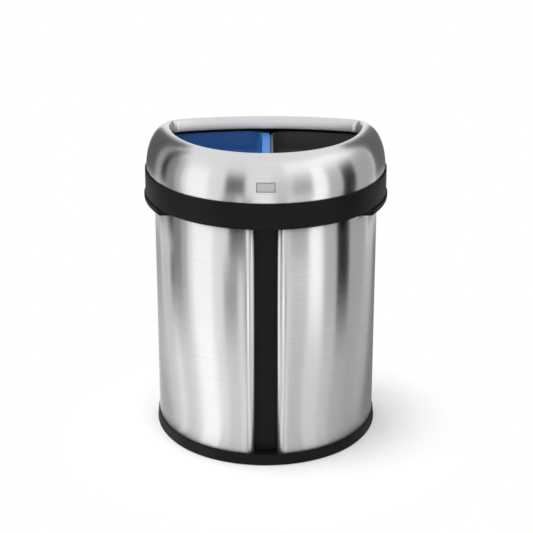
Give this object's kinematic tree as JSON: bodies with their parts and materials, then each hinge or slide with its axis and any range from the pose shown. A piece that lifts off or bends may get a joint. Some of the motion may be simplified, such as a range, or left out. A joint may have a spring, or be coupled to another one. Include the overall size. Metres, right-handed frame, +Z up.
{
  "type": "double recycling bin",
  "caption": "Half-round double recycling bin: steel body on a plastic base, domed open-top lid on back hinges, lift-out buckets side by side.",
  "frame": {"origin": "on the floor, under the middle of the bin's width and depth", "axes": "+Z up, front towards -Y, the blue bucket's side towards -X"},
  "size_m": [0.566, 0.425, 0.7315],
  "materials": {
    "panel_steel": "vertical satin brushing, clear",
    "ring_steel": "satin brushing round the ring",
    "base_plastic": "fine moulded texture, satin",
    "strip_plastic": "fine moulded texture, satin",
    "frame_plastic": "moulded, matte",
    "grip_plastic": "fine moulded texture, matte",
    "collar_plastic": "fine moulded texture, matte",
    "bead_plastic": "moulded, satin",
    "badge_metal": "pale satin face with a darker edge, bare",
    "blue_plastic": "moulded polypropylene, satin",
    "black_plastic": "moulded polypropylene, satin",
    "hinge_steel": "bright zinc",
    "screw_steel": "bright zinc",
    "foot_rubber": "matte"
  },
  "bodies": {
    "body": {"panel_left": "panel_steel", "panel_right": "panel_steel", "base_tray": "base_plastic", "front_strip": "strip_plastic", "back_strip": "strip_plastic", "top_frame": "frame_plastic", "grip_left": "grip_plastic", "grip_right": "grip_plastic", "hinge_bracket_left": "hinge_steel", "hinge_bracket_right": "hinge_steel", "hinge_pin_left": "hinge_steel", "hinge_pin_right": "hinge_steel", "foot_front": "foot_rubber", "foot_left": "foot_rubber", "foot_right": "foot_rubber", "foot_back_left": "foot_rubber", "foot_back_right": "foot_rubber", "lid_bumper_front_left": "foot_rubber", "lid_bumper_front_right": "foot_rubber", "lid_bumper_back_left": "foot_rubber", "lid_bumper_back_right": "foot_rubber", "grip_screw_left_a": "screw_steel", "grip_screw_left_b": "screw_steel", "grip_screw_right_a": "screw_steel", "grip_screw_right_b": "screw_steel", "bracket_screw_left_a": "screw_steel", "bracket_screw_left_b": "screw_steel", "bracket_screw_right_a": "screw_steel", "bracket_screw_right_b": "screw_steel"},
    "lid": {"lid_collar": "collar_plastic", "lid_ring": "ring_steel", "mouth_bead": "bead_plastic", "badge_plate": "badge_metal", "hinge_leaf_left": "hinge_steel", "hinge_leaf_right": "hinge_steel", "ring_screw_left_a": "screw_steel", "ring_screw_left_b": "screw_steel", "ring_screw_right_a": "screw_steel", "ring_screw_right_b": "screw_steel", "leaf_screw_left_a": "screw_steel", "leaf_screw_left_b": "screw_steel", "leaf_screw_right_a": "screw_steel", "leaf_screw_right_b": "screw_steel"},
    "blue_bucket": {"bucket_blue": "blue_plastic"},
    "black_bucket": {"bucket_black": "black_plastic"}
  },
  "joints": [
    {"name": "lid_hinge", "type": "hinge", "parent": "body", "child": "lid", "pos_m": [0, 0.2055, 0.5755], "axis": [-1, 0, 0], "range_deg": [0, 80]},
    {"name": "blue_bucket_lift", "type": "slide", "parent": "body", "child": "blue_bucket", "axis": [0, 0, 1], "range_m": [0, 0.008]},
    {"name": "black_bucket_lift", "type": "slide", "parent": "body", "child": "black_bucket", "axis": [0, 0, 1], "range_m": [0, 0.008]}
  ]
}
